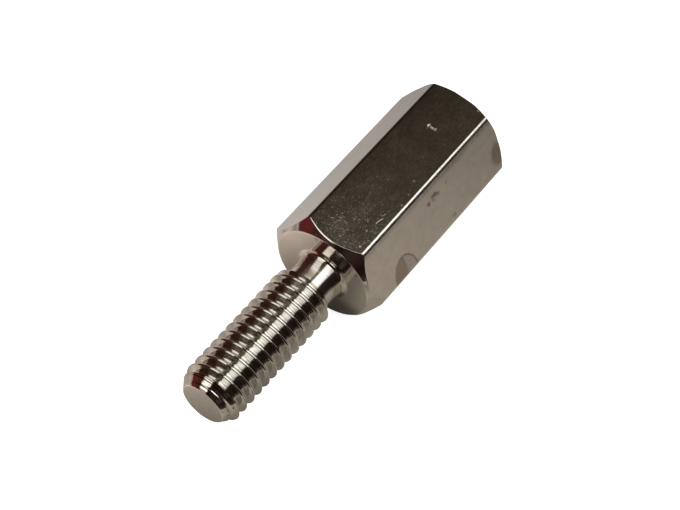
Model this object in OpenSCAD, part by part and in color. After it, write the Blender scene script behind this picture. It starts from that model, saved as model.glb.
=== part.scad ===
// Male-female hex standoff, turned in one piece from hexagonal bar.
// The axis runs along X: the threaded stud points to -X, the tapped end to +X.
// The origin is the centre of the shoulder face that the stud stands on.
// The part lies on one of its six flats, with the opposite flat facing +Z.

/* [Hex body] */
// Width across flats, taken by a 10 mm spanner
across_flats = 10; // [9.8:0.1:13]
// Length of the hexagonal body, from the shoulder to the tapped end
body_l = 20; // [18:1:60]
// Radius along the six long edges, left by drawing the bar
edge_r = 0.5; // [0.1:0.05:0.6]
// Diameter of the flat shoulder face around the stud
shoulder_d = 9.48; // [8.5:0.02:9.7]
// Slope of the chamfer behind the shoulder, length along the axis per unit of radius
shoulder_slope = 1.03; // [0.6:0.01:1.7]
// Diameter at which the chamfer on the tapped end starts
end_chamfer_d = 10.06; // [9:0.02:10.6]
// Slope of the chamfer on the tapped end, length along the axis per unit of radius
end_slope = 0.71; // [0.5:0.01:1.7]

/* [Stud] */
// Major diameter over the crests of the M6 external thread
stud_d = 5.8; // [5.7:0.02:6]
// Length of the stud from the shoulder to its tip
stud_l = 16.2; // [8:0.1:40]
// Diameter of the flat tip
tip_d = 4.08; // [3.8:0.02:4.8]
// Length of the lead-in chamfer at the tip
tip_l = 1.2; // [0.5:0.1:1.6]

/* [Thread relief] */
// Diameter of the relief neck between the thread and the shoulder
neck_d = 4.4; // [4.2:0.05:4.7]
// Distance from the shoulder at which the thread's crests end
relief_l = 2.75; // [1.8:0.05:3.5]
// Length of the slope from the crests down to the relief neck
relief_slope_l = 0.4; // [0.2:0.05:0.8]
// Radius of the fillet where the neck meets the shoulder
neck_fillet = 0.4; // [0.2:0.05:0.6]

/* [Tapped hole] */
// Diameter of the drilled hole, equal to the crests of the M6 internal thread
hole_d = 5; // [4.9:0.02:5.16]
// Depth of the full-diameter hole from the end face
hole_l = 14; // [8:0.5:15]
// Point angle of the drilled bottom
drill_angle = 118; // [90:2:140]
// Diameter of the countersink at the mouth
countersink_d = 6.4; // [6:0.1:7]

/* [Hidden] */
$fn = 96;
eps = 0.5;
lap = 0.0002;

flat_r = across_flats / 2;
corner_r = flat_r / cos(30);
core_r = (flat_r - edge_r) / cos(30);
stud_r = stud_d / 2;
tip_r = tip_d / 2;
neck_r = neck_d / 2;
hole_r = hole_d / 2;
sink_r = countersink_d / 2;
sink_l = sink_r - hole_r;
drill_l = hole_r / tan(drill_angle / 2);
shoulder_r = shoulder_d / 2;
end_r = end_chamfer_d / 2;
reach = corner_r + 1;
reach_near = (reach - shoulder_r) * shoulder_slope;
reach_far = (reach - end_r) * end_slope;

// Hexagonal section of the bar with rounded corners, flats square to the first axis.
// Each corner circle laps over the two flats by a fraction of a micrometre, so that they cross cleanly.
module bar_section() {
    polygon([for (i = [0:5]) for (s = [-1, 1])
        let (a = 30 + 60 * i)
        [core_r * cos(a) + edge_r * cos(a + 30 * s),
         core_r * sin(a) + edge_r * sin(a + 30 * s)]]);
    for (i = [0:5]) {
        a = 30 + 60 * i;
        translate([core_r * cos(a), core_r * sin(a)]) circle(r = edge_r + lap);
    }
}

// Turned envelope that chamfers both ends of the bar, along Z
module chamfer_envelope() {
    rotate_extrude()
        polygon([[0, 0], [shoulder_r, 0], [reach, reach_near],
                 [reach, body_l - reach_far], [end_r, body_l], [0, body_l]]);
}

module body_solid() {
    intersection() {
        linear_extrude(height = body_l) bar_section();
        chamfer_envelope();
    }
}

// Stud with lead-in, crest cylinder, relief neck and the fillet into the shoulder
module stud_solid() {
    rotate_extrude()
        polygon([[0, -stud_l], [tip_r, -stud_l], [stud_r, tip_l - stud_l],
                 [stud_r, -relief_l], [neck_r, relief_slope_l - relief_l],
                 [neck_r, eps], [0, eps]]);
    rotate_extrude()
        difference() {
            translate([neck_r - 0.1, -neck_fillet]) square([neck_fillet + 0.1, neck_fillet + eps]);
            translate([neck_r + neck_fillet, -neck_fillet]) circle(r = neck_fillet);
        }
}

// Blind drilled hole with a countersunk mouth
module hole_cut() {
    translate([0, 0, body_l - hole_l]) cylinder(r = hole_r, h = hole_l + 1);
    translate([0, 0, body_l - hole_l - drill_l]) cylinder(r1 = 0, r2 = hole_r, h = drill_l);
    translate([0, 0, body_l - sink_l]) cylinder(r1 = hole_r, r2 = sink_r, h = sink_l);
    translate([0, 0, body_l]) cylinder(r = sink_r, h = 1);
}

module hex_standoff() {
    color([0.68, 0.64, 0.585])
        rotate([0, 90, 0])
            difference() {
                union() {
                    body_solid();
                    stud_solid();
                }
                hole_cut();
            }
}

hex_standoff();
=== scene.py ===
"""Looks of a nickel-plated hex standoff, lying on one flat.

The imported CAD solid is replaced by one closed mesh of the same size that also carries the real
threads, the small edge radii and the marks of use. Lengths below are in millimetres until they
go into Blender, which works in metres.
"""

import math

import bpy
import numpy as np
from mathutils import Matrix, Vector


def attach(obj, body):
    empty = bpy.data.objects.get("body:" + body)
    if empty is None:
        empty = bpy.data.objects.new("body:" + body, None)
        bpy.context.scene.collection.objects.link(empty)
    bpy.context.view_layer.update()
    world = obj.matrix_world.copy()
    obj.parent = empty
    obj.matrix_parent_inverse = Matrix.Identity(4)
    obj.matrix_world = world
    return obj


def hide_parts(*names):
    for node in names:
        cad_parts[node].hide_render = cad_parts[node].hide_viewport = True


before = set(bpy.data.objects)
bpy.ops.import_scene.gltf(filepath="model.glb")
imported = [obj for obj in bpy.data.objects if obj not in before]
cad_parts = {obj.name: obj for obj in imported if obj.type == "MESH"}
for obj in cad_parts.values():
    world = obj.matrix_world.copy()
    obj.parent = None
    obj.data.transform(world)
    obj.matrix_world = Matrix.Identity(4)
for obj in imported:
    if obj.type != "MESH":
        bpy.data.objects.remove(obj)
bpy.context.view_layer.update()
MM = 0.001

# ---------------------------------------------------------------- sizes, as in the CAD source
FLAT = 5.0  # half the width across flats
EDGE_R = 0.5
CORE = (FLAT - EDGE_R) / math.cos(math.pi / 6)
BODY_L = 20.0
SHOULDER_R, SHOULDER_SLOPE = 4.74, 1.03
END_R, END_SLOPE = 5.03, 0.71
STUD_R, STUD_L = 2.9, 16.2
TIP_R, TIP_L = 2.04, 1.2
NECK_R, RELIEF_L, RELIEF_SLOPE_L, FILLET = 2.2, 2.75, 0.4, 0.4
HOLE_R, HOLE_L, SINK_R = 2.5, 14.0, 3.2
NECK_END, NECK_LEAN = -1.7, math.radians(7.5)
DRILL_L = HOLE_R / math.tan(math.radians(59))
PITCH = 1.0
H_THREAD = PITCH * math.sqrt(3) / 2
CREST_AT = -14.578  # axial place of a crest of the stud on the +Y side


def unit(v):
    v = np.asarray(v, float)
    return v / np.maximum(np.linalg.norm(v, axis=-1, keepdims=True), 1e-12)


# ---------------------------------------------------------------- the skin of the part
class Skin:
    """Vertices in mm, faces, and for each face corner a normal and a place on the unrolled map."""

    def __init__(self):
        self.p, self.faces, self.normals, self.uvs, self.mats = [], [], [], [], []

    def add(self, pts):
        first = sum(len(a) for a in self.p)
        self.p.append(np.asarray(pts, float).reshape(-1, 3))
        return np.arange(first, first + len(self.p[-1]))

    def face(self, ids, normals, uvs, mat):
        self.faces.append([int(i) for i in ids])
        self.normals.extend(normals)
        self.uvs.extend(uvs)
        self.mats.append(mat)


skin = Skin()
MAT_FLAT, MAT_TURNED, MAT_THREAD = 0, 1, 2

# Map layout, in mm on a 42 mm square: six flats in rows, then the unrolled threads and the discs.
MAP = 42.0


def uv_disc(cx, cy, k):
    return lambda x, y, z: ((cx + k * y) / MAP, (cy + k * z) / MAP)


def uv_roll(cx, cy, x0, k_phi, k_x):
    """phi along the width, x along the height."""
    return lambda phi, x: ((cx + k_phi * phi) / MAP, (cy + k_x * (x - x0)) / MAP)


UV_SHOULDER = uv_disc(26.3, 33.4, 0.84)
UV_END = uv_disc(36.6, 33.4, 0.84)
UV_TIP = uv_disc(23.4, 40.0, 0.80)
UV_STUD = uv_roll(21.3, 0.6, -16.2, 3.1, 1.0)
UV_HOLE = uv_roll(21.3, 15.6, 6.0, 3.1, 0.85)
UV_NECK = uv_roll(25.8, 38.7, -2.4, 1.9, 1.1)
UV_DRILL = uv_disc(40.0, 40.2, 0.6)


def ring_points(x, r, phi):
    x = np.broadcast_to(x, phi.shape)
    r = np.broadcast_to(r, phi.shape)
    return np.stack([x, r * np.cos(phi), r * np.sin(phi)], -1)


def turned_normals(nx, nr, phi):
    nx = np.broadcast_to(nx, phi.shape)
    nr = np.broadcast_to(nr, phi.shape)
    return unit(np.stack([nx, nr * np.cos(phi), nr * np.sin(phi)], -1))


def bridge(a, b, na, nb, mat, uva, uvb):
    """Quads between two closed rings with the same number of points. uva and uvb have one more entry, for the seam."""
    n = len(a)
    for j in range(n):
        k = (j + 1) % n
        skin.face(
            (a[j], a[k], b[k], b[j]),
            (na[j], na[k], nb[k], nb[j]),
            (uva[j], uva[j + 1], uvb[j + 1], uvb[j]),
            mat,
        )


def closed_uv(fn, *cols):
    return [fn(*row) for row in zip(*cols)]


def rolled(fn, phi, x):
    phi = np.append(phi, phi[0] + 2 * math.pi)
    x = np.append(np.broadcast_to(x, phi[:-1].shape), np.broadcast_to(x, phi[:-1].shape)[0])
    return closed_uv(fn, phi, x)


def disced(fn, pts):
    pts = np.vstack([pts, pts[:1]])
    return closed_uv(fn, pts[:, 0], pts[:, 1], pts[:, 2])


def zip_rings(a, phi_a, b, phi_b, normal, mat, fn):
    """Triangles between two flat rings with different points, both running the same way round. a is the inner or earlier one along the skin."""
    pts = np.vstack(skin.p)
    na, nb = len(a), len(b)
    i = j = 0

    def at(phi, k):
        return phi[k % len(phi)] + 2 * math.pi * (k // len(phi))

    shift = 0
    # start b at the point nearest to a's first angle
    d = (np.asarray(phi_b) - phi_a[0] + math.pi) % (2 * math.pi) - math.pi
    shift = int(np.argmin(np.abs(d)))
    base_b = phi_a[0] + d[shift]

    def b_angle(k):
        turn = ((phi_b[(shift + k) % nb] - phi_b[shift]) % (2 * math.pi)) + 2 * math.pi * (
            k // nb
        )
        return base_b + turn

    while i < na or j < nb:
        ia, ib = a[i % na], b[(shift + j) % nb]
        step_a = at(phi_a, i + 1) if i < na else 1e9
        step_b = b_angle(j + 1) if j < nb else 1e9
        if step_a <= step_b:
            ids = (ia, a[(i + 1) % na], ib)
            i += 1
        else:
            ids = (ia, b[(shift + j + 1) % nb], ib)
            j += 1
        skin.face(ids, [normal] * 3, [fn(*pts[q]) for q in ids], mat)


# ---------------------------------------------------------------- a thread as a height field
def thread_profile(crest_r, half, root_round, crest_round, inside, roots, corners, flanks):
    """Points (u, radius, nu, nr) over one pitch, from the middle of a crest, for an external thread. An internal one is its mirror image."""
    t30 = math.tan(math.radians(30))
    depth_full = (0.5 - half) / t30  # from the crest line down to where two flanks would meet
    # corner between crest and flank
    cut = crest_round * math.tan(math.radians(30))
    pts = []
    c_u, c_h = half - cut, -crest_round
    for k in range(corners + 1):
        a = math.radians(60 * k / corners)
        pts.append(
            (
                c_u + crest_round * math.sin(a),
                c_h + crest_round * math.cos(a),
                math.sin(a),
                math.cos(a),
            )
        )
    # root arc, centred on u = 0.5
    apex = -depth_full
    r_c = apex + 2 * root_round
    root = []
    for k in range(roots + 1):
        a = math.radians(60 - 120 * k / roots)
        root.append(
            (
                0.5 - root_round * math.sin(a),
                r_c - root_round * math.cos(a),
                math.sin(a),
                math.cos(a),
            )
        )
    first, last = pts[-1], root[0]
    for k in range(1, flanks):
        s = k / flanks
        pts.append(
            (
                first[0] + s * (last[0] - first[0]),
                first[1] + s * (last[1] - first[1]),
                math.sin(math.radians(60)),
                0.5,
            )
        )
    pts += root
    # back up the other flank to the next crest
    for k in range(1, flanks):
        s = k / flanks
        pts.append(
            (
                root[-1][0] + s * ((1 - first[0]) - root[-1][0]),
                root[-1][1] + s * (first[1] - root[-1][1]),
                -math.sin(math.radians(60)),
                0.5,
            )
        )
    for k in range(corners + 1):
        a = math.radians(60 * (corners - k) / corners)
        pts.append(
            (
                1 - c_u - crest_round * math.sin(a),
                c_h + crest_round * math.cos(a),
                -math.sin(a),
                math.cos(a),
            )
        )
    out = np.array(pts)
    if c_u < 1e-4:
        out = out[:-1]  # a fully rounded crest: its last point is the first of the next pitch
    if inside:
        out[:, 1] = crest_r - out[:, 1]
        out[:, 3] *= -1
    else:
        out[:, 1] += crest_r
    return out


class Field:
    """A threaded surface, as polygons on the plane of angle and axial place, which can be cut along any line."""

    def __init__(self, prof, start, x0, x1, n):
        m = len(prof)
        k0 = math.floor((x0 - start) / PITCH) - 2
        k1 = math.ceil((x1 - start) / PITCH) + 1
        turns = k1 - k0 + 2
        self.n = n
        phi = np.arange(n) * 2 * math.pi / n
        lines = turns * m
        x = np.empty((lines, n))
        r = np.empty((lines, n))
        nu = np.empty((lines, n))
        nr = np.empty((lines, n))
        for t in range(turns):
            for i in range(m):
                x[t * m + i] = start + (k0 + t + prof[i, 0]) * PITCH + PITCH * phi / (2 * math.pi)
                r[t * m + i], nu[t * m + i], nr[t * m + i] = prof[i, 1], prof[i, 2], prof[i, 3]
        self.x, self.r, self.nu, self.nr = (list(a.ravel()) for a in (x, r, nu, nr))
        self.phi = list(np.tile(phi, lines))
        self.polys = []
        for line in range(lines - 1):
            if x[line].min() > x1 + PITCH or x[line + 1].max() < x0 - PITCH:
                continue
            for j in range(n):
                if j < n - 1:
                    ids = [
                        line * n + j,
                        line * n + j + 1,
                        (line + 1) * n + j + 1,
                        (line + 1) * n + j,
                    ]
                else:
                    if line + 1 + m >= lines:
                        continue
                    ids = [line * n + j, (line + m) * n, (line + 1 + m) * n, (line + 1) * n + j]
                self.polys.append((ids, 0))

    def cut(self, g, snap=0.0, to_x=None):
        """Splits every polygon where g is 0. Returns the side of each polygon."""
        val = np.array(g(np.array(self.x), np.array(self.r)))
        if snap:
            near = np.abs(val) < snap
            val[near] = 0.0
            if to_x is not None:
                for i in np.nonzero(near)[0]:
                    self.x[i] = to_x
        val = list(val)
        made, out, side = {}, [], []
        for ids, label in self.polys:
            v = [val[i] for i in ids]
            lo, hi = min(v), max(v)
            if lo >= 0 or hi <= 0:
                out.append((ids, label))
                side.append(1 if (hi > 0 or lo == 0 and hi == 0) else -1)
                continue
            above, below = [], []
            for q in range(len(ids)):
                a, b = ids[q], ids[(q + 1) % len(ids)]
                va, vb = val[a], val[b]
                if va >= 0:
                    above.append(a)
                if va <= 0:
                    below.append(a)
                if va * vb < 0:
                    key = (min(a, b), max(a, b))
                    if key not in made:
                        lo_i, hi_i = key
                        s = val[lo_i] / (val[lo_i] - val[hi_i])
                        pa, pb = self.phi[lo_i], self.phi[hi_i]
                        if pb - pa > math.pi:
                            pa += 2 * math.pi
                        if pa - pb > math.pi:
                            pb += 2 * math.pi
                        made[key] = len(self.x)
                        self.phi.append((pa + s * (pb - pa)) % (2 * math.pi))
                        for arr in (self.x, self.r, self.nu, self.nr):
                            arr.append(arr[lo_i] + s * (arr[hi_i] - arr[lo_i]))
                        if to_x is not None:
                            self.x[-1] = to_x
                        val.append(0.0)
                    above.append(made[key])
                    below.append(made[key])
            out.append((above, label))
            side.append(1)
            out.append((below, label))
            side.append(-1)
        self.polys = [(p, s) for p, s in zip(out, side)]
        self.polys = [((ids, label), s) for (ids, label), s in self.polys]
        return self

    def keep(self, wanted):
        self.polys = [poly for poly, s in self.polys if s == wanted and len(poly[0]) > 2]

    def relabel(self, above, below):
        """Turns the two sides of the last cut into labels, with None to leave a label as it is."""
        self.polys = [
            ((ids, (above if s > 0 else below) if (above if s > 0 else below) is not None else label))
            for (ids, label), s in self.polys
            if len(ids) > 2
        ]

    def boundary(self, x):
        """The vertices at one end, in order of angle."""
        used = {i for ids, _ in self.polys for i in ids}
        ids = [i for i in used if abs(self.x[i] - x) < 1e-7]
        return sorted(ids, key=lambda i: self.phi[i])


def lay_field(field, radius_of, turned_slope, fn, inside, flat_label_normals):
    """Puts a cut field into the skin. radius_of gives each vertex its radius, turned_slope the (nx, nr) of each label above 0. Returns the map from field to skin vertices."""
    used = sorted({i for ids, _ in field.polys for i in ids})
    x = np.array([field.x[i] for i in used])
    phi = np.array([field.phi[i] for i in used])
    r_thread = np.array([field.r[i] for i in used])
    r = radius_of(x, r_thread)
    ids = skin.add(ring_points(x, r, phi))
    where = dict(zip(used, ids))
    at = dict(zip(used, range(len(used))))
    nu = np.array([field.nu[i] for i in used])
    nr = np.array([field.nr[i] for i in used])
    # a helix leans its normals a little out of the plane through the axis
    lean = PITCH / (2 * math.pi * np.maximum(r, 0.5))
    c, s = np.cos(phi), np.sin(phi)
    n_thread = unit(np.stack([nu, nr * c + nu * lean * s, nr * s - nu * lean * c], -1))
    turned = {
        label: turned_normals(a, b, phi) for label, (a, b) in turned_slope.items()
    }
    for poly, label in field.polys:
        # drop vertices that fell on each other
        k = [at[i] for i in poly]
        n = n_thread if label == 0 else turned[label]
        ph = phi[k].copy()
        if ph.max() - ph.min() > math.pi:
            ph[ph < math.pi] += 2 * math.pi
        uv = [fn(a, b) for a, b in zip(ph, x[k])]
        vid = [where[i] for i in poly]
        nn = [n[q] for q in k]
        if inside:
            vid, nn, uv = vid[::-1], nn[::-1], uv[::-1]
        skin.face(vid, nn, uv, MAT_THREAD if label == 0 else MAT_TURNED)
    return where


def bezier(p0, pm, p2, n0, n2, steps):
    """A rounded corner in a plane: points and normals, both ends included. All arrays are (n, k)."""
    out = []
    for i in range(steps + 1):
        s = i / steps
        out.append(
            (
                (1 - s) ** 2 * p0 + 2 * s * (1 - s) * pm + s * s * p2,
                unit((1 - s) * n0 + s * n2),
            )
        )
    return out


# ---------------------------------------------------------------- stud: tip, thread, relief
N_STUD = 168
X_A, X_B = 0.06 - STUD_L, RELIEF_SLOPE_L - RELIEF_L
TIP_SLOPE = (STUD_R - TIP_R) / TIP_L


def turned_stud(x):
    cone = TIP_R + (x + STUD_L) * TIP_SLOPE
    slope = NECK_R + (X_B - x) * (STUD_R - NECK_R) / RELIEF_SLOPE_L
    return np.minimum(np.minimum(cone, STUD_R), np.maximum(slope, NECK_R))


CREST_ROUND = 0.15
prof = thread_profile(
    STUD_R, CREST_ROUND * math.tan(math.radians(30)), 0.14, CREST_ROUND, False, 6, 6, 2
)
stud = Field(prof, CREST_AT, X_A, X_B, N_STUD)
stud.cut(lambda x, r: x - X_A, 0.004, X_A)
stud.keep(1)
stud.cut(lambda x, r: X_B - x, 0.004, X_B)
stud.keep(1)
stud.cut(lambda x, r: x - (TIP_L - STUD_L), 0.003, TIP_L - STUD_L)
stud.relabel(None, 1)
stud.cut(lambda x, r: -RELIEF_L - x, 0.003, -RELIEF_L)
stud.relabel(None, 2)
stud.cut(lambda x, r: turned_stud(x) - r, 0.0015)
# where the thread is below the turned outline it shows; elsewhere the outline does
stud.polys = [
    ((ids, 0) if s > 0 else (ids, label)) for (ids, label), s in stud.polys if len(ids) > 2
]
tip_n = unit(np.array([-TIP_SLOPE, 1.0]))
relief_n = unit(np.array([(STUD_R - NECK_R) / RELIEF_SLOPE_L, 1.0]))
where = lay_field(
    stud,
    lambda x, r: np.minimum(turned_stud(x), r),
    {1: tuple(tip_n), 2: tuple(relief_n)},
    UV_STUD,
    False,
    None,
)
ring_a = stud.boundary(X_A)
ring_b = stud.boundary(X_B)
phi_a = np.array([stud.phi[i] for i in ring_a])
phi_b = np.array([stud.phi[i] for i in ring_b])
ids_a = np.array([where[i] for i in ring_a])
ids_b = np.array([where[i] for i in ring_b])

# tip: lathe inwards from the first ring, with a small radius, to the centre
r_a = float(turned_stud(np.array([X_A]))[0])
t = 0.06
rim = bezier(
    np.array([[-STUD_L + t * math.cos(math.atan(TIP_SLOPE)), TIP_R + t * math.sin(math.atan(TIP_SLOPE))]]),
    np.array([[-STUD_L, TIP_R]]),
    np.array([[-STUD_L, TIP_R - t]]),
    tip_n[None],
    np.array([[-1.0, 0.0]]),
    3,
)
prev_ids, prev_n = ids_a, turned_normals(tip_n[0], tip_n[1], phi_a)
prev_pts = ring_points(X_A, r_a, phi_a)
for (pos,), (nn,) in rim:
    pts = ring_points(pos[0], pos[1], phi_a)
    ids = skin.add(pts)
    nrm = turned_normals(nn[0], nn[1], phi_a)
    bridge(ids, prev_ids, nrm, prev_n, MAT_TURNED, disced(UV_TIP, pts), disced(UV_TIP, prev_pts))
    prev_ids, prev_n, prev_pts = ids, nrm, pts
for radius in (1.4, 0.7):
    pts = ring_points(-STUD_L, radius, phi_a)
    ids = skin.add(pts)
    nrm = turned_normals(-1.0, 0.0, phi_a)
    bridge(ids, prev_ids, nrm, prev_n, MAT_TURNED, disced(UV_TIP, pts), disced(UV_TIP, prev_pts))
    prev_ids, prev_n, prev_pts = ids, nrm, pts
centre = skin.add([[-STUD_L, 0, 0]])[0]
minus_x = np.array([-1.0, 0, 0])
for j in range(len(prev_ids)):
    k = (j + 1) % len(prev_ids)
    skin.face(
        (centre, prev_ids[k], prev_ids[j]),
        [minus_x] * 3,
        [UV_TIP(0, 0, 0), UV_TIP(*prev_pts[k]), UV_TIP(*prev_pts[j])],
        MAT_TURNED,
    )

# neck and fillet, then the inner ring of the shoulder face
prev_ids, prev_pts = ids_b, ring_points(X_B, NECK_R, phi_b)
prev_n = turned_normals(0.0, 1.0, phi_b)
path = [(-2.33, NECK_R, 0.0, 1.0), (NECK_END, NECK_R, 0.0, 1.0)]
for k in range(1, 7):
    # the neck swells a little towards the shoulder
    x = NECK_END * (1 - k / 6) - FILLET * k / 6
    a = NECK_LEAN * k / 6
    r = NECK_R + math.tan(NECK_LEAN) * (x - NECK_END) ** 2 / (2 * (-FILLET - NECK_END))
    path.append((x, r, -math.sin(a), math.cos(a)))
swell = path[-1][1]
fillet_r = FILLET / (1 - math.sin(NECK_LEAN))
for k in range(1, 11):
    a = NECK_LEAN + (math.pi / 2 - NECK_LEAN) * k / 10
    path.append(
        (
            -fillet_r + fillet_r * math.sin(a),
            swell + fillet_r * (math.cos(NECK_LEAN) - math.cos(a)),
            -math.sin(a),
            math.cos(a),
        )
    )
for k, (x, r, nx, nr) in enumerate(path):
    pts = ring_points(x, r, phi_b)
    ids = skin.add(pts)
    nrm = turned_normals(nx, nr, phi_b)
    bridge(
        prev_ids, ids, prev_n, nrm, MAT_TURNED, rolled(UV_NECK, phi_b, prev_pts[0, 0] - (prev_pts[:, 1] ** 2 + prev_pts[:, 2] ** 2)[0] ** 0.5 * 0 ), rolled(UV_NECK, phi_b, x + max(0.0, r - NECK_R))
    )
    prev_ids, prev_n, prev_pts = ids, nrm, pts
shoulder_inner, shoulder_phi = prev_ids, phi_b

# ---------------------------------------------------------------- hexagonal body
SEG_ARC = 10
sec_pos, sec_n, sec_flat, sec_w = [], [], [], []
TANGENT = CORE * 0.5
# the nick sits on the top flat, so its columns are closer together there
NICK = (15.25, 0.40)


def flat_columns(k):
    if k != 1:
        return np.linspace(-TANGENT, TANGENT, 27)
    # on the top flat the section runs from +Y to -Y, so w = -y
    fine = np.arange(-1.05, 0.61, 0.06)
    left = np.linspace(-TANGENT, fine[0], 10)[:-1]
    right = np.linspace(fine[-1], TANGENT, 12)[1:]
    return np.concatenate([left, fine, right])


for m in range(6):
    a0 = math.radians(60 * m)
    c = CORE * np.array([math.cos(a0), math.sin(a0)])
    for s in range(SEG_ARC + 1):
        a = a0 + math.radians(-30 + 60 * s / SEG_ARC)
        nrm = np.array([math.cos(a), math.sin(a)])
        sec_pos.append(c + EDGE_R * nrm)
        sec_n.append(nrm)
        # the first point of an arc ends flat m-1, the last begins flat m
        sec_flat.append((m - 1) % 6 + 0.5 if s < SEG_ARC / 2 else m + 0.0)
        sec_w.append(0.0)
    a = a0 + math.radians(30)
    nrm = np.array([math.cos(a), math.sin(a)])
    tan = np.array([-math.sin(a), math.cos(a)])
    for w in flat_columns(m)[1:-1]:
        sec_pos.append(FLAT * nrm + w * tan)
        sec_n.append(nrm)
        sec_flat.append(m)
        sec_w.append(w)
sec_pos, sec_n = np.array(sec_pos), np.array(sec_n)
start = int(np.argmin(np.abs(np.arctan2(sec_pos[:, 1], sec_pos[:, 0]))))
sec_pos, sec_n = np.roll(sec_pos, -start, 0), np.roll(sec_n, -start, 0)
sec_phi = np.unwrap(np.arctan2(sec_pos[:, 1], sec_pos[:, 0]))
sec_r = np.linalg.norm(sec_pos, axis=1)
sec_u = sec_pos / sec_r[:, None]
NS = len(sec_r)
# place on the map: which flat's row, and how far across it
row_of, across = np.empty(NS), np.empty(NS)
for i in range(NS):
    k = int(math.floor((math.degrees(sec_phi[i]) % 360) / 60 + 1e-9)) % 6
    a = math.radians(60 * k + 30)
    tan = np.array([-math.sin(a), math.cos(a)])
    row_of[i], across[i] = k, float(sec_pos[i] @ tan)


def flat_uv(i, x, k=None):
    """Column i of the section at axial place x, on flat k's row."""
    k = int(row_of[i % NS]) if k is None else k
    a = math.radians(60 * k + 30)
    tan = np.array([-math.sin(a), math.cos(a)])
    w = float(sec_pos[i % NS] @ tan)
    return ((0.6 + x) / MAP, (3.4 + 6.4 * k + w) / MAP)


def section_points(x, r_scale):
    """Ring of the section at axial places x with its polar radius changed by r_scale."""
    p = sec_u * (sec_r + r_scale)[:, None]
    return np.column_stack([np.broadcast_to(x, sec_r.shape), p])


def section_normals(nx, nr):
    """Turned normals at each column."""
    nx = np.broadcast_to(nx, sec_r.shape)
    nr = np.broadcast_to(nr, sec_r.shape)
    return unit(np.column_stack([nx, sec_u * nr[:, None]]))


flat_normals = np.column_stack([np.zeros(NS), sec_n])

rings = []  # (points, normals, material, is on a flat)

# shoulder: face, small radius, cone, small radius, flats
near_x = SHOULDER_SLOPE * (sec_r - SHOULDER_R)
cone_n = section_normals(-1.0, SHOULDER_SLOPE)
face_n = np.tile(minus_x, (NS, 1))
t = 0.08
along = unit(np.array([SHOULDER_SLOPE, 1.0]))  # up the cone, in (x, r)
f0 = np.column_stack([np.zeros(NS), np.full(NS, SHOULDER_R - t)])
fm = np.column_stack([np.zeros(NS), np.full(NS, SHOULDER_R)])
f2 = fm + t * along
for pos, nn in bezier(f0, fm, f2, face_n, cone_n, 5):
    rings.append((pos, nn, MAT_TURNED))
for s in (0.35, 0.7):
    b = np.column_stack([near_x, sec_r])
    rings.append((f2 + s * (b - 0.06 * along - f2), cone_n, MAT_TURNED))
t = 0.055
b0 = np.column_stack([near_x, sec_r]) - t * along
bm = np.column_stack([near_x, sec_r])
b2 = bm + np.array([t, 0.0])
for pos, nn in bezier(b0, bm, b2, cone_n, flat_normals, 5):
    rings.append((pos, nn, MAT_TURNED))
near_end = rings[-1][0][:, 0].copy()

# far end: flats, small radius, cone where there is one, small radius, face
c = np.maximum(0.0, sec_r - END_R)
m_r = np.minimum(sec_r, END_R)
burr = 0.05 * np.clip(1 - c / 0.08, 0, 1)
pa = np.column_stack([np.full(NS, BODY_L), m_r - burr])
pb = np.column_stack([BODY_L - END_SLOPE * c - burr, sec_r])
d_ab = pa - pb
len_ab = np.linalg.norm(d_ab, axis=1, keepdims=True)
d_ab = d_ab / len_ab
far_cone_n = unit(
    np.column_stack([-d_ab[:, 1], sec_u * d_ab[:, :1]])
)
t = np.minimum(0.045, 0.42 * len_ab)
far0 = pb - np.column_stack([t[:, 0], np.zeros(NS)])
far_x = far0[:, 0].copy()
base = list(np.concatenate([np.arange(0, 14.85, 0.6), np.arange(14.85, 16.0, 0.06), np.arange(16.0, 19.4, 0.6)]) / 19.4)
for q in [s for s in base if 0.004 < s < 0.985]:
    # evenly stretched between the two curved ends, and true to x in the middle
    x = near_end + (far_x - near_end) * q
    x_mid = 0.3 + 19.4 * q
    w = np.clip(min(q, 1 - q) / 0.2, 0, 1)
    x = x * (1 - w) + x_mid * w
    rings.append((np.column_stack([x, sec_r]), flat_normals, MAT_FLAT))
for pos, nn in bezier(far0, pb, pb + t * d_ab, flat_normals, far_cone_n, 3):
    rings.append((pos, nn, MAT_FLAT if pos is far0 else MAT_TURNED))
plus_x = np.array([1.0, 0, 0])
end_n = np.tile(plus_x, (NS, 1))
for pos, nn in bezier(
    pa - t * d_ab, pa, pa - np.column_stack([np.zeros(NS), t[:, 0]]), far_cone_n, end_n, 3
):
    rings.append((pos, nn, MAT_TURNED))


def dents(x, y):
    """Depth of the nick and the small knocks on the top flat, in mm."""
    d = np.zeros_like(x)
    # (x, y, half length, half width, turn in degrees, depth)
    for cx, cy, la, lb, turn, depth in (
        (15.40, 0.60, 0.14, 0.09, 8, 0.026),
        (15.36, 0.22, 0.09, 0.16, 15, 0.018),
        (15.42, -0.08, 0.12, 0.08, -12, 0.016),
    ):
        a = math.radians(turn)
        u = (x - cx) * math.cos(a) + (y - cy) * math.sin(a)
        v = -(x - cx) * math.sin(a) + (y - cy) * math.cos(a)
        q = (u / la) ** 2 + (v / lb) ** 2
        d += depth * np.exp(-1.6 * q) - 0.25 * depth * np.exp(-1.6 * (np.sqrt(q) - 1.5) ** 2 * 4)
    return d


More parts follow.
